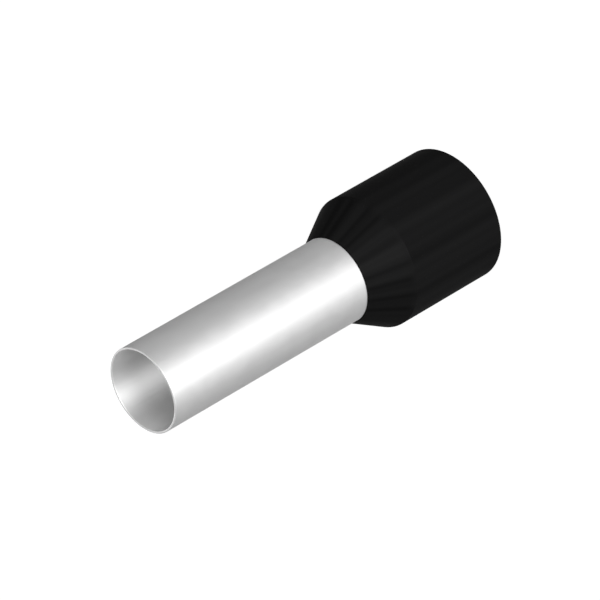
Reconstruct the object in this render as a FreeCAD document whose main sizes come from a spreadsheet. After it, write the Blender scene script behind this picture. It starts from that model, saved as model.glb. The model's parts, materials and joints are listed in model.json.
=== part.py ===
# Insulated wire end ferrule for a 25 square millimetre stranded conductor.
# It has two pieces. A thin seamless metal sleeve takes the bared strands, and its rear end is belled out.
# A moulded plastic collar takes the end of the wire's insulation, and its tapered throat holds the bell.
# The axis is Z. The collar's rear rim stands on Z = 0 and the sleeve's open tip points up. Millimetres.
import FreeCAD, Part
import os

import Sketcher

DIMENSIONS = (
    ("TubeBore", "7.3", "inside diameter of the metal sleeve"),
    ("TubeWall", "0.2", "wall of the metal sleeve"),
    ("TubeExposed", "22", "bare sleeve in front of the collar"),
    ("TipRound", "0.05", "deburred edges of the sleeve's tip"),
    ("BellBend", "1.2", "outside radius where the sleeve turns into its bell"),
    ("BellMargin", "0.6", "space left between the bell's edge and the straight wall of the collar"),
    ("CollarDia", "12", "outside diameter of the collar"),
    ("CollarWall", "0.4", "wall of the collar"),
    ("CollarLength", "14", "collar from its rear rim to its nose"),
    ("ConeLength", "3.75", "tapered part of the collar, up to its nose"),
    ("NoseLip", "0.05", "step from the collar's nose down to its throat"),
    ("SeatGap", "0.02", "clearance between the sleeve and the collar"),
    ("ShoulderRound", "0.15", "outer edge between the collar's taper and its straight part"),
    ("InnerShoulderRound", "0.3", "inner corner where the collar's taper starts"),
    ("RimRound", "0.08", "outer edge of the collar's rear rim"),
    ("LeadInDepth", "0.15", "radial depth of the lead-in at the collar's mouth"),
    ("LeadInLength", "0.3", "axial length of the lead-in at the collar's mouth"),
)

# Radii that both pieces are drawn from
TUBE_INNER = "Sizes.TubeBore / 2"
TUBE_OUTER = "Sizes.TubeBore / 2 + Sizes.TubeWall"
THROAT = TUBE_OUTER + " + Sizes.SeatGap"
NOSE = THROAT + " + Sizes.NoseLip"
COLLAR_OUTER = "Sizes.CollarDia / 2"
COLLAR_INNER = "Sizes.CollarDia / 2 - Sizes.CollarWall"
BELL_EDGE = COLLAR_INNER + " - Sizes.BellMargin"

# Numbers that a sketch uses for a line's two ends and for its own origin
START = 1
END = 2
ORIGIN = (-1, 1)

# Shares of the taper's length where the first rough outlines put the throat's corner and the bell's edge.
# The constraints on each outline then move them to their true places.
ROUGH_THROAT = 0.2
ROUGH_BELL = 0.75

# Two radii closer than this are the same edge
SAME_RADIUS = 0.001


def make_sheet(doc):
    """One row for each driving dimension, with its meaning beside it."""
    sheet = doc.addObject("Spreadsheet::Sheet", "Sizes")
    for row, (alias, value, meaning) in enumerate(DIMENSIONS, start=1):
        sheet.set(f"A{row}", meaning)
        sheet.set(f"B{row}", value)
        sheet.setAlias(f"B{row}", alias)
    doc.recompute()


def make_body(doc, name):
    body = doc.addObject("PartDesign::Body", name)
    body.Label = name
    body.Placement = FreeCAD.Placement()
    return body


def value_of(formula, feature):
    """The present value of a formula on the sheet's dimensions."""
    return float(feature.evalExpression(formula))


def half_section(body, name):
    """An empty sketch on the body's XZ plane, so its X is a radius and its Y is a height."""
    sketch = body.newObject("Sketcher::SketchObject", name)
    plane = next(item for item in body.Origin.OriginFeatures if item.Role == "XZ_Plane")
    sketch.AttachmentSupport = [(plane, "")]
    sketch.MapMode = "FlatFace"
    return sketch


def draw_line(sketch, start, end, construction=False):
    segment = Part.LineSegment(FreeCAD.Vector(*start, 0), FreeCAD.Vector(*end, 0))
    return sketch.addGeometry(segment, construction)


def draw_loop(sketch, points):
    """Joined lines through the points and back to the first. Line 0 runs from point 0 to point 1."""
    lines = [draw_line(sketch, points[i - 1], points[i]) for i in range(1, len(points))]
    lines.append(draw_line(sketch, points[-1], points[0]))
    for line, following in zip(lines, lines[1:] + lines[:1]):
        sketch.addConstraint(Sketcher.Constraint("Coincident", line, END, following, START))
    return lines


def relate(sketch, kind, *elements):
    sketch.addConstraint(Sketcher.Constraint(kind, *elements))


def dimension(sketch, name, kind, elements, formula):
    """A sketch dimension that follows a formula on the sheet."""
    constraint = Sketcher.Constraint(kind, *elements, value_of(formula, sketch))
    index = sketch.addConstraint(constraint)
    sketch.renameConstraint(index, name)
    sketch.setExpression(f"Constraints.{name}", formula)


def round_corner(sketch, name, line, formula):
    """Rounds the corner at a line's far end. The radius follows a formula on the sheet."""
    sketch.fillet(line, END, value_of(formula, sketch), True, False)
    arc = len(sketch.Geometry) - 1
    dimension(sketch, name, "Radius", (arc,), formula)


def draw_taper_line(sketch):
    """Construction line along the collar's outer taper, which every wall at the taper is set off from."""
    nose = value_of(NOSE, sketch)
    shoulder = value_of(COLLAR_OUTER, sketch)
    front = value_of("Sizes.CollarLength", sketch)
    back = value_of("Sizes.CollarLength - Sizes.ConeLength", sketch)
    taper = draw_line(sketch, (nose, front), (shoulder, back), construction=True)
    dimension(sketch, "NoseRadius", "DistanceX", (*ORIGIN, taper, START), NOSE)
    dimension(sketch, "NoseHeight", "DistanceY", (*ORIGIN, taper, START), "Sizes.CollarLength")
    dimension(sketch, "ShoulderRadius", "DistanceX", (*ORIGIN, taper, END), COLLAR_OUTER)
    dimension(sketch, "TaperLength", "DistanceY", (taper, END, taper, START), "Sizes.ConeLength")
    return taper


def turn(body, kind, name, sketch):
    """A full turn of a half section about the Z axis. The kind is Revolution or Groove."""
    feature = body.newObject(f"PartDesign::{kind}", name)
    feature.Profile = sketch
    feature.ReferenceAxis = (sketch, ["V_Axis"])
    feature.Angle = 360
    body.Document.recompute()


def round_edges(body, radius_formula):
    """Names of the circular edges with a given radius, lowest first."""
    shape = body.Tip.Shape
    radius = value_of(radius_formula, body)
    found = []
    for number, edge in enumerate(shape.Edges, start=1):
        if edge.Curve.TypeId != "Part::GeomCircle":
            continue
        if abs(edge.Curve.Radius - radius) < SAME_RADIUS:
            found.append((edge.Curve.Center.z, f"Edge{number}"))
    return [edge_name for height, edge_name in sorted(found)]


def dress(body, kind, name, edge_names):
    """A Fillet or Chamfer on named edges of the body as it stands."""
    base = body.Tip
    feature = body.newObject(f"PartDesign::{kind}", name)
    feature.Base = (base, edge_names)
    return feature


def make_metal_sleeve(doc):
    """Straight thin tube whose rear end is belled out parallel to the collar's taper."""
    body = make_body(doc, "metal_sleeve")
    sketch = half_section(body, "sleeve_wall")
    inner = value_of(TUBE_INNER, sketch)
    outer = value_of(TUBE_OUTER, sketch)
    bell = value_of(BELL_EDGE, sketch)
    tip = value_of("Sizes.CollarLength + Sizes.TubeExposed", sketch)
    bend = value_of(f"Sizes.CollarLength - Sizes.ConeLength * {ROUGH_THROAT}", sketch)
    back = value_of(f"Sizes.CollarLength - Sizes.ConeLength * {ROUGH_BELL}", sketch)
    wall = outer - inner
    points = [(inner, tip), (outer, tip), (outer, bend), (bell, back), (bell - wall, back), (inner, bend)]
    tip_face, outer_wall, outer_bell, bell_edge, inner_bell, inner_wall = draw_loop(sketch, points)
    round_corner(sketch, "OuterBend", outer_wall, "Sizes.BellBend")
    round_corner(sketch, "InnerBend", inner_bell, "Sizes.BellBend + Sizes.TubeWall")
    taper = draw_taper_line(sketch)
    relate(sketch, "Horizontal", tip_face)
    relate(sketch, "Vertical", outer_wall)
    relate(sketch, "Vertical", inner_wall)
    relate(sketch, "Parallel", outer_bell, taper)
    relate(sketch, "Parallel", inner_bell, outer_bell)
    relate(sketch, "Perpendicular", bell_edge, outer_bell)
    dimension(sketch, "BoreRadius", "DistanceX", (*ORIGIN, tip_face, START), TUBE_INNER)
    dimension(sketch, "TubeWall", "DistanceX", (tip_face, START, tip_face, END), "Sizes.TubeWall")
    dimension(sketch, "TipHeight", "DistanceY", (*ORIGIN, tip_face, START),
              "Sizes.CollarLength + Sizes.TubeExposed")
    dimension(sketch, "BellWall", "Distance", (bell_edge,), "Sizes.TubeWall")
    dimension(sketch, "BellRadius", "DistanceX", (*ORIGIN, bell_edge, START), BELL_EDGE)
    dimension(sketch, "BellInset", "Distance", (bell_edge, START, taper),
              "Sizes.CollarWall + Sizes.SeatGap")
    turn(body, "Revolution", "sleeve", sketch)

    tip_edges = [round_edges(body, TUBE_INNER)[-1], round_edges(body, TUBE_OUTER)[-1]]
    deburred_tip = dress(body, "Fillet", "deburred_tip", tip_edges)
    deburred_tip.setExpression("Radius", "Sizes.TipRound")
    doc.recompute()
    return body


def make_plastic_collar(doc):
    """Straight sleeve for the wire's insulation that tapers to a nose around the metal sleeve."""
    body = make_body(doc, "plastic_collar")
    form = half_section(body, "collar_form")
    side = value_of(COLLAR_OUTER, form)
    nose = value_of(NOSE, form)
    front = value_of("Sizes.CollarLength", form)
    back = value_of("Sizes.CollarLength - Sizes.ConeLength", form)
    points = [(0, 0), (side, 0), (side, back), (nose, front), (0, front)]
    base, straight_side, taper_side, nose_face, axis_line = draw_loop(form, points)
    round_corner(form, "Shoulder", straight_side, "Sizes.ShoulderRound")
    taper = draw_taper_line(form)
    relate(form, "Coincident", base, START, *ORIGIN)
    relate(form, "Horizontal", base)
    relate(form, "Vertical", straight_side)
    relate(form, "PointOnObject", taper_side, START, taper)
    relate(form, "Coincident", taper_side, END, taper, START)
    relate(form, "Horizontal", nose_face)
    relate(form, "Vertical", axis_line)
    dimension(form, "OuterRadius", "DistanceX", (base, START, base, END), COLLAR_OUTER)
    turn(body, "Revolution", "collar", form)

    hollow = half_section(body, "collar_hollow")
    seat = value_of(COLLAR_INNER, hollow)
    throat = value_of(THROAT, hollow)
    bend = value_of(f"Sizes.CollarLength - Sizes.ConeLength * {ROUGH_THROAT}", hollow)
    points = [(0, 0), (seat, 0), (seat, back), (throat, bend), (throat, front), (0, front)]
    base, seat_wall, inner_taper, throat_wall, nose_plane, axis_line = draw_loop(hollow, points)
    round_corner(hollow, "InnerShoulder", seat_wall, "Sizes.InnerShoulderRound")
    round_corner(hollow, "ThroatRound", inner_taper, "Sizes.BellBend - Sizes.SeatGap")
    taper = draw_taper_line(hollow)
    relate(hollow, "Coincident", base, START, *ORIGIN)
    relate(hollow, "Horizontal", base)
    relate(hollow, "Vertical", seat_wall)
    relate(hollow, "Parallel", inner_taper, taper)
    relate(hollow, "Vertical", throat_wall)
    relate(hollow, "Horizontal", nose_plane)
    relate(hollow, "Vertical", axis_line)
    dimension(hollow, "SeatRadius", "DistanceX", (base, START, base, END), COLLAR_INNER)
    dimension(hollow, "TaperInset", "Distance", (inner_taper, START, taper), "Sizes.CollarWall")
    dimension(hollow, "ThroatRadius", "DistanceX", (nose_plane, END, nose_plane, START), THROAT)
    dimension(hollow, "Length", "DistanceY", (axis_line, END, axis_line, START), "Sizes.CollarLength")
    solid_volume = body.Shape.Volume
    turn(body, "Groove", "hollow", hollow)
    if body.Shape.Volume > solid_volume / 2:
        raise RuntimeError("the collar was not hollowed")

    rim_edge = round_edges(body, COLLAR_OUTER)[0]
    rim_round = dress(body, "Fillet", "rim_round", [rim_edge])
    rim_round.setExpression("Radius", "Sizes.RimRound")
    doc.recompute()
    mouth_edge = round_edges(body, COLLAR_INNER)[0]
    lead_in = dress(body, "Chamfer", "lead_in", [mouth_edge])
    lead_in.ChamferType = "Two distances"
    lead_in.setExpression("Size", "Sizes.LeadInDepth")
    lead_in.setExpression("Size2", "Sizes.LeadInLength")
    doc.recompute()
    return body


def check(doc, bodies):
    """Stops if any object failed or any piece is not one sound solid."""
    for item in doc.Objects:
        if "Invalid" in item.State or "Error" in item.State:
            raise RuntimeError(f"{item.Name} failed: {item.State}")
    for body in bodies:
        if body.Shape.isNull() or not body.Shape.isValid():
            raise RuntimeError(f"{body.Label} has no sound shape")
        if len(body.Shape.Solids) != 1:
            raise RuntimeError(f"{body.Label} is not one solid")


document = FreeCAD.newDocument("WireFerrule")
make_sheet(document)
pieces = [make_metal_sleeve(document), make_plastic_collar(document)]
document.recompute()
check(document, pieces)
os.makedirs("parts", exist_ok=True)
for piece in pieces:
    piece.Shape.exportStep(f"parts/{piece.Label}.step")
    print(piece.Label, "volume", round(piece.Shape.Volume, 3), "cubic millimetres")
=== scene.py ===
"""Looks of an insulated wire ferrule: a tinned tube whose belled end sits in a black moulded collar.

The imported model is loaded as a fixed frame. Both of its pieces are turned again as fine meshes
of the same form, get their finishes, and stand on a pale floor under soft light.
"""

import json
import math

import bmesh
import bpy
from bpy.props import FloatProperty, FloatVectorProperty, IntProperty, PointerProperty
from mathutils import Matrix, Vector


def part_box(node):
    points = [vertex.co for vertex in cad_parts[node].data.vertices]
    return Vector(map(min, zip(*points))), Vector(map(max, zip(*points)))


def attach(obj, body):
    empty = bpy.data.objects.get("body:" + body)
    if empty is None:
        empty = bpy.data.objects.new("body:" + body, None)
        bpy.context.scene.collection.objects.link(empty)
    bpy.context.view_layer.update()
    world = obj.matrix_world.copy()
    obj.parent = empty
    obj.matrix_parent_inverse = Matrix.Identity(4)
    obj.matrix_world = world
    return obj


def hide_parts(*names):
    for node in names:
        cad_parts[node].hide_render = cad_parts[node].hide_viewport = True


bl_info = {
    "name": "Wire Ferrule",
    "version": (1, 0, 0),
    "blender": (4, 5, 0),
    "location": "View3D > Sidebar > Ferrule",
    "description": "Turns an insulated wire ferrule around its packed solids and lights it",
    "category": "Add Mesh",
}

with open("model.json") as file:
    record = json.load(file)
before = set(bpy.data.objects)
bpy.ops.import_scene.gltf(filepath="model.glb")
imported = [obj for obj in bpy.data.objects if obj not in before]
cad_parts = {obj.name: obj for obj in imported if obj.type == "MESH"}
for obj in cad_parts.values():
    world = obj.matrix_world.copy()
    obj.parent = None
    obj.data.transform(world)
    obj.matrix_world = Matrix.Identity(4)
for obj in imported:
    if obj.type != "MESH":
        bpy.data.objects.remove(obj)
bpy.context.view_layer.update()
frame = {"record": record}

MM = 0.001
BODY = "root"

# Modelling. A run gets holding points between its roundings where it is longer than this many holds
MERGE_DISTANCE = 0.0001 * MM
FEWEST_ARC_STEPS = 2
RUN_IN_HOLDS = 4.0

# Each pattern's noise: its cells to the metre, and how finely they are broken up
DRAWN_LINES = (6500.0, 2.0)
BROAD_LINES = (1400.0, 1.0)
PLATE_MOTTLE = (900.0, 3.0)
PLATE_GRAIN = (14000.0, 2.0)
MOULD_GRAIN = (8000.0, 2.0)
MOULD_WAVES = (420.0, 1.0)
FLOOR_SPECKS = (260.0, 2.0)

# The same for patterns that run along the collar, with cells to the radian. They paint reflection streaks
# into the collar's colour, and sway its roughness.
PAINTED_SHEEN_LINES = (4.5, 1.5)
PAINTED_CONE_STREAKS = (5.5, 1.0)

NOISE_MIDDLE = 0.5
BLACK = (0.0, 0.0, 0.0, 1.0)
WHITE = (1.0, 1.0, 1.0, 1.0)

# Picture and room
PICTURE_PIXELS = 600.0
CAMERA_NEAR = 0.01
CAMERA_FAR = 20.0
FLOOR_REACH = 3.0
FLOOR_ROUGH = 0.9


def mount_radius(name):
    """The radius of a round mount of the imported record, in metres."""
    found = next(m for m in frame["record"]["mounts"] if m["name"] == name)
    return found["dims"]["r_mm"] * MM


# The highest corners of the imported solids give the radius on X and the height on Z
sleeve_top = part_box("metal_sleeve")[1]
collar_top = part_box("plastic_collar")[1]


def length(name, description, default):
    """A size property in metres."""
    return FloatProperty(name=name, description=description, default=default, min=0.0,
                         precision=6, unit="LENGTH", subtype="DISTANCE")


def share(name, description, default):
    """A property between nought and one."""
    return FloatProperty(name=name, description=description, default=default,
                         min=0.0, max=1.0, subtype="FACTOR")


def strength(name, description, default):
    """A property of nought or more. A lamp at one lets white that faces it show as white."""
    return FloatProperty(name=name, description=description, default=default, min=0.0)


def colour(name, description, default):
    """A linear colour property."""
    return FloatVectorProperty(name=name, description=description, default=default,
                               size=3, min=0.0, max=1.0, subtype="COLOR")


def turn(name, description, degrees):
    """An angle property, given in degrees."""
    return FloatProperty(name=name, description=description,
                         default=math.radians(degrees), unit="ROTATION", subtype="ANGLE")


def pixel(name, description, default):
    """A property that places something in the picture."""
    return FloatProperty(name=name, description=description, default=default, subtype="PIXEL")


class FerruleSizes(bpy.types.PropertyGroup):
    """Sizes of the sleeve and the collar."""

    bore_radius: length("Bore radius", "Inside radius of the metal tube", mount_radius("wire_bore"))
    tube_radius: length("Tube radius", "Outside radius of the tube", mount_radius("terminal_pin"))
    tip_height: length("Tip height", "Height of the tube's open tip", sleeve_top.z)
    bell_radius: length("Bell radius", "Largest radius of the bell", sleeve_top.x)
    tip_round: length("Tip round", "Rounding of the tip's two edges", 0.05 * MM)
    bend_radius: length("Bend radius", "Bend from the tube into the bell", 1.2 * MM)
    collar_radius: length("Collar radius", "Outside radius of the collar", collar_top.x)
    collar_height: length("Collar height", "Length of the collar", collar_top.z)
    collar_wall: length("Collar wall", "Wall of the collar", collar_top.x - mount_radius("insulation_seat"))
    cone_length: length("Cone length", "Length of the collar's tapered front", 3.75 * MM)
    nose_lip: length("Nose lip", "Width of the collar's front face", 0.05 * MM)
    seat_gap: length("Seat gap", "Clearance between sleeve and collar", 0.02 * MM)
    shoulder_round: length("Shoulder round", "Outer edge from side to taper", 0.15 * MM)
    inner_shoulder_round: length("Inner shoulder", "Inner edge from seat to taper", 0.3 * MM)
    rim_round: length("Rim round", "Outer edge of the rear rim", 0.08 * MM)
    lead_in_depth: length("Lead-in depth", "Widening of the rear bore", 0.15 * MM)
    lead_in_length: length("Lead-in length", "Length of the rear bore's widening", 0.3 * MM)
    edge_break: length("Edge break", "Rounding of an edge that is left sharp", 0.015 * MM)
    edge_hold: length("Edge hold", "Distance of a holding loop from a rounding", 0.12 * MM)
    facets: IntProperty(name="Facets", description="Faces round the axis", default=192, min=24)
    arc_step: turn("Arc step", "Largest turn between two points of a rounding", 6.0)


class FerruleFinish(bpy.types.PropertyGroup):
    """Colours and gloss of the two finishes."""

    tin_dark: colour("Tin, dark", "Tin plate where it lies thick", (0.84, 0.84, 0.84))
    tin_pale: colour("Tin, pale", "Tin plate where it lies thin", (0.88, 0.88, 0.88))
    # Painted shade in the bore: its colour darkens from the first tone at the mouth to the second at the
    # given depth.
    tin_painted_shade_at_mouth: colour("Tin, at the mouth", "Plate where the bore begins", (0.70, 0.70, 0.70))
    tin_painted_shade_deep: colour("Tin, in the bore", "Thinner, duller plate deeper in the bore", (0.50, 0.50, 0.50))
    painted_shade_depth: length("Bore fade", "Depth at which the bore's plate is at its dullest", 3.0 * MM)
    # Painted shade on the tip's cut face, which faces up into the light.
    tin_cut_painted_shade: colour("Tin, at the cut", "Plate on the cut face of the tip", (0.53, 0.53, 0.53))
    tin_edge: colour("Tin, at an edge", "Reflection of the plate at a grazing angle", (0.1, 0.1, 0.1))
    tin_rough: share("Tin roughness", "Blur of the plate's reflections outside", 0.58)
    bore_rough: share("Bore roughness", "Blur of the plate's reflections in the bore", 0.55)
    line_rough: share("Line roughness", "How far the drawing lines sway the tin's roughness", 0.06)
    mottle_rough: share("Mottle roughness", "How far the mottle sways the tin's roughness", 0.05)
    mottle_share: share("Mottle share", "The mottle's part in the tin's tone, beside the broad lines", 0.6)
    line_stretch: share("Line stretch", "Height's weight in the drawing lines, low for long lines", 0.012)
    tin_line_depth: length("Drawing line depth", "Depth of the tube's drawing lines", 0.0008 * MM)
    tin_grain_depth: length("Plate grain depth", "Depth of the plate's fine grain", 0.0006 * MM)
    # Between these two tones the collar's colour carries painted reflection streaks; the pale tone is
    # painted sheen.
    plastic_dark: colour("Plastic, dark", "Collar between its flow lines", (0.0030, 0.0030, 0.0031))
    plastic_painted_sheen: colour("Plastic, pale", "Collar on its flow lines", (0.0120, 0.0120, 0.0121))
    plastic_rough: share("Plastic roughness", "Blur of the collar's sheen", 0.42)
    sheen_line_rough: share("Flow roughness", "How far the flow lines sway the collar's roughness", 0.2)
    grain_rough: share("Grain roughness", "How far the grain sways the collar's roughness", 0.06)
    plastic_gloss: share("Plastic gloss", "Strength of the collar's sheen", 0.012)
    plastic_grain_depth: length("Mould grain depth", "Depth of the moulded grain", 0.0015 * MM)
    plastic_wave_depth: length("Mould wave depth", "Depth of the collar's broad waves", 0.004 * MM)
    # Strength of the painted reflection streaks on the cone.
    streaks: strength("Cone streaks", "Strength of the streaks on the collar's cone", 1.5)
    streak_rise: length("Streak rise", "Height above the shoulder at which they are whole", 0.6 * MM)


class FerruleStudio(bpy.types.PropertyGroup):
    """Camera, lamps and floor."""

    lens: FloatProperty(name="Lens", description="Focal length on a 36 mm sensor, in mm",
                        default=296.25, unit="CAMERA")
    camera_elevation: turn("Camera elevation", "Height of the camera above the horizon", 35.264)
    camera_roll: turn("Camera roll", "Turn of the camera about its line of sight", -119.991)
    camera_distance: length("Camera distance", "Depth of the tube's mouth before the camera", 0.3991)
    mouth_x: pixel("Mouth across", "The mouth's place in the picture, from the left", 142.85)
    mouth_y: pixel("Mouth down", "The mouth's place in the picture, from the top", 390.78)
    lamp_distance: length("Lamp distance", "Distance of the lamps from the object", 0.7)
    lamp_width: length("Lamp width", "Width of a lamp's panel", 0.26)
    lamp_height: length("Lamp height", "Height of a lamp's panel", 0.12)
    key_level: strength("Key level", "Light of the low key lamp on the object", 1.15)
    key_azimuth: turn("Key azimuth", "Direction of the key lamp, from the front to the right", -15.0)
    key_elevation: turn("Key elevation", "Height of the key lamp above the horizon", 5.0)
    front_level: strength("Front level", "Light of the front lamp on the object", 0.3)
    front_azimuth: turn("Front azimuth", "Direction of the front lamp, from the front to the right", 4.0)
    front_elevation: turn("Front elevation", "Height of the front lamp above the horizon", 30.0)
    back_level: strength("Back level", "Light of the back lamp on the object", 0.4)
    back_azimuth: turn("Back azimuth", "Direction of the back lamp, from the front to the right", 165.0)
    back_elevation: turn("Back elevation", "Height of the back lamp above the horizon", 20.0)
    ambient: share("Ambient", "Light of the room on the object", 0.08)
    floor_colour: colour("Floor colour", "Pale floor", (0.4, 0.4, 0.4))
    floor_speck: share("Floor speck", "Tone of the floor's darker specks beside its colour", 0.96)
    backdrop: share("Backdrop", "Paleness of the room behind the floor", 0.8)
    floor_glow: share("Floor glow", "What the floor adds to reach white in the picture", 0.88)
    floor_shine: share("Floor shine", "Share of that glow which reflections show", 0.06)
    fade_start: length("Fade start", "Where the floor starts to fade into the backdrop", 0.085)
    fade_end: length("Fade end", "Where the floor has the backdrop's tone", 0.3)


def shoulder_height(sizes):
    """Height at which the collar's straight side turns into its taper."""
    return sizes.collar_height - sizes.cone_length


def taper_slope(sizes):
    """How fast the collar's taper gains radius, for each unit of height lost."""
    nose_radius = sizes.tube_radius + sizes.seat_gap + sizes.nose_lip
    return (sizes.collar_radius - nose_radius) / sizes.cone_length


def taper_height(sizes, radius, depth):
    """Height at which the collar's taper, moved inward by depth, has this radius."""
    slope = taper_slope(sizes)
    inset = depth * math.hypot(1.0, slope)
    return shoulder_height(sizes) + (sizes.collar_radius - inset - radius) / slope


def sleeve_outline(sizes):
    """Corners of the sleeve's wall as radius, height and rounding, from the tip down the outside."""
    wall = sizes.tube_radius - sizes.bore_radius
    skin = sizes.collar_wall + sizes.seat_gap
    tilt = math.atan(taper_slope(sizes))
    lip_height = taper_height(sizes, sizes.bell_radius, skin)
    outer_bend = taper_height(sizes, sizes.tube_radius, skin)
    inner_bend = taper_height(sizes, sizes.bore_radius, skin + wall)
    return [
        (sizes.tube_radius, sizes.tip_height, sizes.tip_round),
        (sizes.tube_radius, outer_bend, sizes.bend_radius),
        (sizes.bell_radius, lip_height, sizes.edge_break),
        (sizes.bell_radius - wall * math.cos(tilt), lip_height - wall * math.sin(tilt), sizes.edge_break),
        (sizes.bore_radius, inner_bend, sizes.bend_radius + wall),
        (sizes.bore_radius, sizes.tip_height, sizes.tip_round),
    ]


def collar_outline(sizes):
    """Corners of the collar's wall as radius, height and rounding, from the rear rim up the outside."""
    throat = sizes.tube_radius + sizes.seat_gap
    seat = sizes.collar_radius - sizes.collar_wall
    throat_end = taper_height(sizes, throat, sizes.collar_wall)
    seat_end = taper_height(sizes, seat, sizes.collar_wall)
    return [
        (sizes.collar_radius, 0.0, sizes.rim_round),
        (sizes.collar_radius, shoulder_height(sizes), sizes.shoulder_round),
        (throat + sizes.nose_lip, sizes.collar_height, sizes.edge_break),
        (throat, sizes.collar_height, sizes.edge_break),
        (throat, throat_end, sizes.bend_radius - sizes.seat_gap),
        (seat, seat_end, sizes.inner_shoulder_round),
        (seat, sizes.lead_in_length, sizes.edge_break),
        (seat + sizes.lead_in_depth, 0.0, sizes.edge_break),
    ]


class Outline:
    """A half section in the XZ plane, drawn with straight and round strokes."""

    def __init__(self, mesh, start):
        self.mesh = mesh
        self.start = mesh.verts.new(start)
        self.end = self.start

    def straight_to(self, point):
        """Draws a line from the outline's end to the point."""
        grown = bmesh.ops.extrude_vert_indiv(self.mesh, verts=[self.end])
        self.end = grown["verts"][0]
        self.end.co = point

    def held_to(self, point, hold):
        """Draws a line with a point close to each of its ends, which keep its shading straight."""
        start = self.end.co.copy()
        run = point - start
        if run.length > RUN_IN_HOLDS * hold:
            self.straight_to(start + run.normalized() * hold)
            self.straight_to(point - run.normalized() * hold)
        self.straight_to(point)

    def round_about(self, centre, angle, step):
        """Draws an arc about the centre, in steps no larger than the one given."""
        steps = max(FEWEST_ARC_STEPS, math.ceil(abs(angle) / step))
        swept = bmesh.ops.spin(self.mesh, geom=[self.end], cent=centre, axis=(0.0, 1.0, 0.0),
                               angle=angle, steps=steps)
        self.end = next(part for part in swept["geom_last"] if isinstance(part, bmesh.types.BMVert))


def rounded_corner(before, corner, after, radius):
    """Where a rounding starts, its centre, and its turn about the Y axis."""
    back = (before - corner).normalized()
    ahead = (after - corner).normalized()
    bend = math.pi - back.angle(ahead)
    reach = radius * math.tan(bend / 2.0)
    middle = (back + ahead).normalized()
    centre = corner + middle * math.hypot(radius, reach)
    side = back.cross(ahead).y
    return corner + back * reach, centre, math.copysign(bend, -side)


def draw_outline(mesh, outline, sizes):
    """Draws the outline once round, with its corners rounded, back to where it starts."""
    corners = [Vector((radius, 0.0, height)) for radius, height, _ in outline]
    roundings = [rounding for _, _, rounding in outline]
    befores = corners[-1:] + corners[:-1]
    afters = corners[1:] + corners[:1]
    drawn = None
    for before, corner, after, rounding in zip(befores, corners, afters, roundings):
        entry, centre, angle = rounded_corner(before, corner, after, rounding)
        if drawn is None:
            drawn = Outline(mesh, entry)
        else:
            drawn.held_to(entry, sizes.edge_hold)
        drawn.round_about(centre, angle, sizes.arc_step)
    drawn.held_to(drawn.start.co.copy(), sizes.edge_hold)


def add_object(name, data):
    """Shows the data as an object at the origin."""
    made = bpy.data.objects.new(name, data)
    bpy.context.scene.collection.objects.link(made)
    return made


def add_mesh(name, mesh):
    """Ends the work on a bmesh and shows it as an object."""
    data = bpy.data.meshes.new(name)
    mesh.to_mesh(data)
    mesh.free()
    return add_object(name, data)


def turned_piece(name, outline, sizes):
    """Turns the outline once round Z and returns the smooth piece."""
    mesh = bmesh.new()
    draw_outline(mesh, outline, sizes)
    bmesh.ops.remove_doubles(mesh, verts=mesh.verts[:], dist=MERGE_DISTANCE)
    bmesh.ops.spin(mesh, geom=mesh.verts[:] + mesh.edges[:], cent=(0.0, 0.0, 0.0), axis=(0.0, 0.0, 1.0),
                   angle=math.tau, steps=sizes.facets, use_merge=True)
    bmesh.ops.remove_doubles(mesh, verts=mesh.verts[:], dist=MERGE_DISTANCE)
    bmesh.ops.recalc_face_normals(mesh, faces=mesh.faces[:])
    for face in mesh.faces:
        face.smooth = True
    return add_mesh(name, mesh)


class Wire:
    """An output of a shader node. Sums, products and comparisons with it add Math nodes."""

    def __init__(self, shader, node, socket):
        self.shader = shader
        self.node = node
        self.socket = socket

    def out(self, name):
        """Another output of the same node."""
        return Wire(self.shader, self.node, self.node.outputs[name])

    def __add__(self, other):
        return self.shader.maths("ADD", self, other)

    def __radd__(self, other):
        return self.shader.maths("ADD", other, self)

    def __sub__(self, other):
        return self.shader.maths("SUBTRACT", self, other)

    def __rsub__(self, other):
        return self.shader.maths("SUBTRACT", other, self)

    def __mul__(self, other):
        return self.shader.maths("MULTIPLY", self, other)

    def __rmul__(self, other):
        return self.shader.maths("MULTIPLY", other, self)

    def __lt__(self, other):
        return self.shader.maths("LESS_THAN", self, other)

    def __gt__(self, other):
        return self.shader.maths("GREATER_THAN", self, other)


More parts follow.
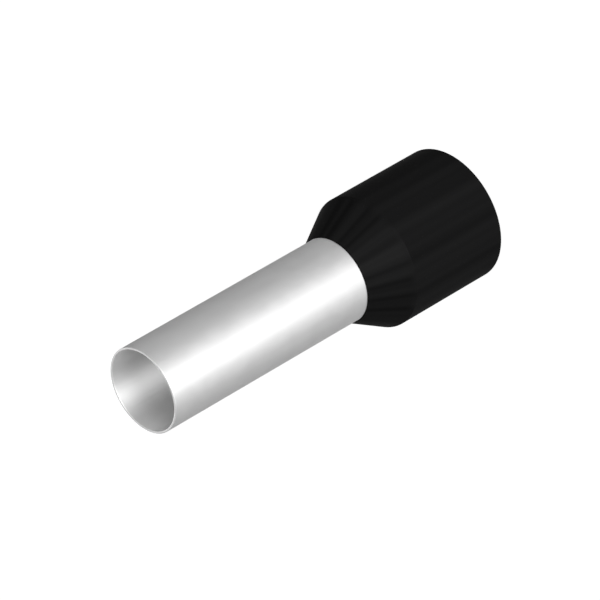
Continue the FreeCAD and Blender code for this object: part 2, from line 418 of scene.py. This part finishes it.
class Shader:
    """Adds nodes to the tree of a material or of the world."""

    def __init__(self, tree):
        self.tree = tree
        tree.nodes.clear()

    def node(self, kind, settings=None, values=None):
        """Adds a node: its settings first, then the values or links of its inputs."""
        made = self.tree.nodes.new(kind)
        for name, setting in (settings or {}).items():
            setattr(made, name, setting)
        for name, value in (values or {}).items():
            socket = self.socket(made, name)
            if isinstance(value, Wire):
                self.tree.links.new(value.socket, socket)
            else:
                socket.default_value = value
        return Wire(self, made, next((s for s in made.outputs if s.enabled), None))

    @staticmethod
    def socket(node, name):
        """An input by its place, or by its name among those in use."""
        if isinstance(name, int):
            return node.inputs[name]
        return next(s for s in node.inputs if s.enabled and s.name == name)

    def maths(self, operation, first, second):
        """The result of an operation on two numbers."""
        return self.node("ShaderNodeMath", {"operation": operation}, {0: first, 1: second})

    def vector(self, operation, *values):
        """The result of an operation on vectors."""
        return self.node("ShaderNodeVectorMath", {"operation": operation}, dict(enumerate(values)))

    def place(self):
        """The place on the object, the same without its height, and the height alone."""
        place = self.node("ShaderNodeTexCoord").out("Object")
        flat = self.vector("MULTIPLY", place, (1.0, 1.0, 0.0))
        height = self.node("ShaderNodeSeparateXYZ", {}, {"Vector": place}).out("Z")
        return place, flat, height

    def rise(self, value, start, end):
        """A smooth rise from nought to one while the value goes from start to end."""
        return self.node("ShaderNodeMapRange", {"interpolation_type": "SMOOTHSTEP"},
                         {"Value": value, "From Min": start, "From Max": end})

    def noise(self, place, pattern):
        """The pattern's soft noise, between nought and one."""
        cells, detail = pattern
        return self.node("ShaderNodeTexNoise", {}, {"Vector": place, "Scale": cells, "Detail": detail})

    def blend(self, factor, first, second):
        """A colour between the first and the second."""
        return self.node("ShaderNodeMix", {"data_type": "RGBA"},
                         {"Factor": factor, "A": first, "B": second})

    def bump(self, height, depth, normal=None):
        """A bump of the height, as deep as given in metres, over another one."""
        values = {"Height": height, "Distance": depth, "Strength": 1.0}
        if normal is not None:
            values["Normal"] = normal
        return self.node("ShaderNodeBump", {}, values)

    def coat(self, values):
        """Ends a material in the principled shader."""
        surface = self.node("ShaderNodeBsdfPrincipled", {}, values)
        self.node("ShaderNodeOutputMaterial", {}, {"Surface": surface})


def opaque(rgb):
    """A colour with an alpha of one, as sockets want it."""
    return (rgb[0], rgb[1], rgb[2], 1.0)


def grey(tone):
    """A neutral colour, as sockets want it."""
    return opaque((tone, tone, tone))


def new_material(name):
    """An empty material and its shader."""
    material = bpy.data.materials.new(name)
    material.use_nodes = True
    return material, Shader(material.node_tree)


def tin_plate(finish, sizes):
    """Tin plate over a drawn copper tube: faint lengthwise lines under a softly mottled plating.

    Its colour has painted shade in the bore, the darker away from the mouth, and on the cut face of the
    tip.
    """
    material, shader = new_material("tin_plate")
    place, flat, height = shader.place()
    stretch = (1.0, 1.0, finish.line_stretch)
    drawn = shader.node("ShaderNodeMapping", {}, {"Vector": place, "Scale": stretch})
    lines = shader.noise(drawn, DRAWN_LINES)
    broad_lines = shader.noise(drawn, BROAD_LINES)
    mottle = shader.noise(place, PLATE_MOTTLE)
    grain = shader.noise(place, PLATE_GRAIN)
    radius = shader.vector("LENGTH", flat).out("Value")
    inside = radius < (sizes.bore_radius + sizes.tube_radius) / 2.0
    rough = finish.tin_rough + inside * (finish.bore_rough - finish.tin_rough)
    rough = rough + (lines - NOISE_MIDDLE) * finish.line_rough
    rough = rough + (mottle - NOISE_MIDDLE) * finish.mottle_rough
    # Painted shade: the bore's colour darkens away from the mouth.
    mouth = shader.rise(height, sizes.tip_height - finish.painted_shade_depth, sizes.tip_height)
    # Painted shade on the cut face of the tip.
    cut = shader.rise(height, sizes.tip_height - sizes.tip_round, sizes.tip_height)
    tone = mottle * finish.mottle_share + broad_lines * (1.0 - finish.mottle_share)
    outside = shader.blend(tone, opaque(finish.tin_dark), opaque(finish.tin_pale))
    bore = shader.blend(mouth, opaque(finish.tin_painted_shade_deep), opaque(finish.tin_painted_shade_at_mouth))
    plate = shader.blend(inside, outside, bore)
    line_bumps = shader.bump(lines, finish.tin_line_depth)
    shader.coat({
        "Base Color": shader.blend(cut, plate, opaque(finish.tin_cut_painted_shade)),
        "Metallic": 1.0,
        "Specular Tint": opaque(finish.tin_edge),
        "Roughness": rough,
        "Normal": shader.bump(grain, finish.tin_grain_depth, line_bumps),
    })
    return material


def moulded_black(finish, sizes):
    """Black moulded plastic with a fine grain. Reflection streaks are painted into its colour, along it
    from rim to nose and fanning on the cone, and sway its roughness.
    """
    material, shader = new_material("moulded_black")
    place, flat, height = shader.place()
    around = shader.vector("NORMALIZE", flat)
    shoulder = shoulder_height(sizes)
    cone = shader.rise(height, shoulder - sizes.shoulder_round, shoulder + finish.streak_rise)
    # Painted reflection streaks: they run along the collar and fan out on its cone.
    streaks = (shader.noise(around, PAINTED_CONE_STREAKS) - NOISE_MIDDLE) * cone * finish.streaks
    painted_sheen = shader.noise(around, PAINTED_SHEEN_LINES) + streaks
    grain = shader.noise(place, MOULD_GRAIN)
    waves = shader.noise(place, MOULD_WAVES)
    rough = finish.plastic_rough + (painted_sheen - NOISE_MIDDLE) * finish.sheen_line_rough
    rough = rough + (grain - NOISE_MIDDLE) * finish.grain_rough
    grain_bumps = shader.bump(grain, finish.plastic_grain_depth)
    shader.coat({
        # The base colour carries the painted reflection streaks.
        "Base Color": shader.blend(painted_sheen, opaque(finish.plastic_dark), opaque(finish.plastic_painted_sheen)),
        "Roughness": rough,
        "Specular IOR Level": finish.plastic_gloss,
        "Normal": shader.bump(waves, finish.plastic_wave_depth, grain_bumps),
    })
    return material


def seen_rays(shader, shine):
    """One for what the camera sees, and the share given for reflections and for what shows through."""
    path = shader.node("ShaderNodeLightPath")
    return path.out("Is Camera Ray") + (path.out("Is Glossy Ray") + path.out("Is Transmission Ray")) * shine


def pale_floor(studio):
    """A pale matt floor. It is white in the picture near the object, and fades into the backdrop's tone."""
    material, shader = new_material("pale_floor")
    place = shader.node("ShaderNodeTexCoord").out("Object")
    distance = shader.vector("LENGTH", place).out("Value")
    fade = shader.rise(distance, studio.fade_start, studio.fade_end)
    specks = [studio.floor_speck * part for part in studio.floor_colour]
    near = shader.blend(shader.noise(place, FLOOR_SPECKS), opaque(specks), opaque(studio.floor_colour))
    glow = shader.blend(fade, grey(studio.floor_glow), grey(studio.backdrop))
    shader.coat({
        "Base Color": shader.blend(fade, near, BLACK),
        "Roughness": FLOOR_ROUGH,
        "Specular IOR Level": 0.0,
        "Emission Color": shader.blend(seen_rays(shader, studio.floor_shine), BLACK, glow),
        "Emission Strength": 1.0,
    })
    return material


def dress(piece, material, node):
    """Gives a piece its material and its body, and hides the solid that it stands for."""
    piece.data.materials.append(material)
    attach(piece, BODY)
    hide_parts(node)


def round_object(azimuth, elevation, distance, target):
    """A point round the target. Azimuth 0 lies before it, on the side of -Y, and 90 on the side of +X."""
    flat = distance * math.cos(elevation)
    reach = Vector((flat * math.sin(azimuth), -flat * math.cos(azimuth), distance * math.sin(elevation)))
    return target + reach


def softbox(studio, name, target):
    """One of the studio's flat lamps. It faces the target, and gives it the level of light asked for."""
    azimuth = getattr(studio, f"{name}_azimuth")
    elevation = getattr(studio, f"{name}_elevation")
    level = getattr(studio, f"{name}_level")
    light = bpy.data.lights.new(name, "AREA")
    light.shape = "RECTANGLE"
    light.size = studio.lamp_width
    light.size_y = studio.lamp_height
    light.energy = level * math.pi ** 2 * studio.lamp_distance ** 2
    lamp = add_object(name, light)
    lamp.location = round_object(azimuth, elevation, studio.lamp_distance, target)
    lamp.rotation_mode = "QUATERNION"
    lamp.rotation_quaternion = (target - lamp.location).to_track_quat("-Z", "Y")
    lamp.visible_camera = False
    return lamp


def shine_through(lamp, piece):
    """Lets the lamp's light pass the piece, which is lit by it but casts no shadow from it."""
    spared = bpy.data.collections.new(f"{lamp.name}_passes")
    spared.objects.link(piece)
    spared.collection_objects[0].light_linking.link_state = "EXCLUDE"
    lamp.light_linking.blocker_collection = spared


def light_object(studio, target, sleeve):
    """Sets up the three lamps. The key lamp's light passes the sleeve, and so reaches into its bore."""
    key = softbox(studio, "key", target)
    shine_through(key, sleeve)
    softbox(studio, "front", target)
    softbox(studio, "back", target)


def lay_floor(studio):
    """A wide square floor under the object."""
    mesh = bmesh.new()
    bmesh.ops.create_grid(mesh, x_segments=1, y_segments=1, size=FLOOR_REACH)
    floor = add_mesh("floor", mesh)
    floor.data.materials.append(pale_floor(studio))


def light_world(studio):
    """The pale backdrop that the camera and reflections see, and a softer light on the object."""
    world = bpy.data.worlds.new("studio")
    world.use_nodes = True
    bpy.context.scene.world = world
    shader = Shader(world.node_tree)
    ambient = studio.ambient
    level = ambient + (studio.backdrop - ambient) * seen_rays(shader, 1.0)
    background = shader.node("ShaderNodeBackground", {}, {"Color": WHITE, "Strength": level})
    shader.node("ShaderNodeOutputWorld", {}, {"Surface": background})


def place_camera(studio, sizes):
    """Puts the camera where the tube's mouth has its place in a square picture."""
    data = bpy.data.cameras.new("camera")
    data.lens = studio.lens
    data.clip_start = CAMERA_NEAR
    data.clip_end = CAMERA_FAR
    camera = add_object("camera", data)
    pitch = Matrix.Rotation(math.pi / 2.0 - studio.camera_elevation, 3, "X")
    facing = pitch @ Matrix.Rotation(studio.camera_roll, 3, "Z")
    step = studio.camera_distance * data.sensor_width / data.lens / PICTURE_PIXELS
    across = (studio.mouth_x - PICTURE_PIXELS / 2.0) * step
    up = (PICTURE_PIXELS / 2.0 - studio.mouth_y) * step
    mouth = Vector((0.0, 0.0, sizes.tip_height))
    camera.location = mouth - facing @ Vector((across, up, -studio.camera_distance))
    camera.rotation_euler = facing.to_euler()
    bpy.context.scene.camera = camera


class FERRULE_OT_turn_sleeve(bpy.types.Operator):
    """Turn the tinned metal sleeve with its bell"""

    bl_idname = "ferrule.turn_sleeve"
    bl_label = "Turn metal sleeve"
    bl_options = {"REGISTER", "UNDO"}

    def execute(self, context):
        sizes = context.scene.ferrule_sizes
        piece = turned_piece("tinned_sleeve", sleeve_outline(sizes), sizes)
        dress(piece, tin_plate(context.scene.ferrule_finish, sizes), "metal_sleeve")
        return {"FINISHED"}


class FERRULE_OT_mould_collar(bpy.types.Operator):
    """Make the black plastic collar with its tapered throat"""

    bl_idname = "ferrule.mould_collar"
    bl_label = "Mould plastic collar"
    bl_options = {"REGISTER", "UNDO"}

    def execute(self, context):
        sizes = context.scene.ferrule_sizes
        piece = turned_piece("moulded_collar", collar_outline(sizes), sizes)
        dress(piece, moulded_black(context.scene.ferrule_finish, sizes), "plastic_collar")
        return {"FINISHED"}


class FERRULE_OT_set_stage(bpy.types.Operator):
    """Set up the floor, the lamps, the world and the camera"""

    bl_idname = "ferrule.set_stage"
    bl_label = "Set stage"
    bl_options = {"REGISTER", "UNDO"}

    def execute(self, context):
        scene = context.scene
        studio = scene.ferrule_studio
        sizes = scene.ferrule_sizes
        middle = Vector((0.0, 0.0, sizes.tip_height / 2.0))
        scene.view_settings.view_transform = "Standard"
        lay_floor(studio)
        light_world(studio)
        light_object(studio, middle, scene.objects["tinned_sleeve"])
        place_camera(studio, sizes)
        return {"FINISHED"}


class FERRULE_PT_sidebar(bpy.types.Panel):
    """Lists the steps that make the ferrule"""

    bl_label = "Wire Ferrule"
    bl_idname = "FERRULE_PT_sidebar"
    bl_space_type = "VIEW_3D"
    bl_region_type = "UI"
    bl_category = "Ferrule"

    def draw(self, context):
        layout = self.layout
        for operator in OPERATORS:
            layout.operator(operator.bl_idname)
        for name in SETTINGS:
            group = getattr(context.scene, name)
            box = layout.box()
            for field in group.bl_rna.properties:
                if field.identifier not in ("rna_type", "name"):
                    box.prop(group, field.identifier)


OPERATORS = (FERRULE_OT_turn_sleeve, FERRULE_OT_mould_collar, FERRULE_OT_set_stage)
SETTINGS = {
    "ferrule_sizes": FerruleSizes,
    "ferrule_finish": FerruleFinish,
    "ferrule_studio": FerruleStudio,
}


def register():
    """Adds the settings, the operators and the sidebar's panel to Blender."""
    for group in SETTINGS.values():
        bpy.utils.register_class(group)
    for operator in OPERATORS:
        bpy.utils.register_class(operator)
    bpy.utils.register_class(FERRULE_PT_sidebar)
    for name, group in SETTINGS.items():
        setattr(bpy.types.Scene, name, PointerProperty(type=group))


def unregister():
    """Takes them out again, last one first."""
    for name in SETTINGS:
        delattr(bpy.types.Scene, name)
    bpy.utils.unregister_class(FERRULE_PT_sidebar)
    for operator in reversed(OPERATORS):
        bpy.utils.unregister_class(operator)
    for group in reversed(SETTINGS.values()):
        bpy.utils.unregister_class(group)


def main():
    """Makes the ferrule and its stage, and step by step."""
    register()
    bpy.ops.ferrule.turn_sleeve()
    bpy.ops.ferrule.mould_collar()
    bpy.ops.ferrule.set_stage()


if __name__ == "__main__":
    main()
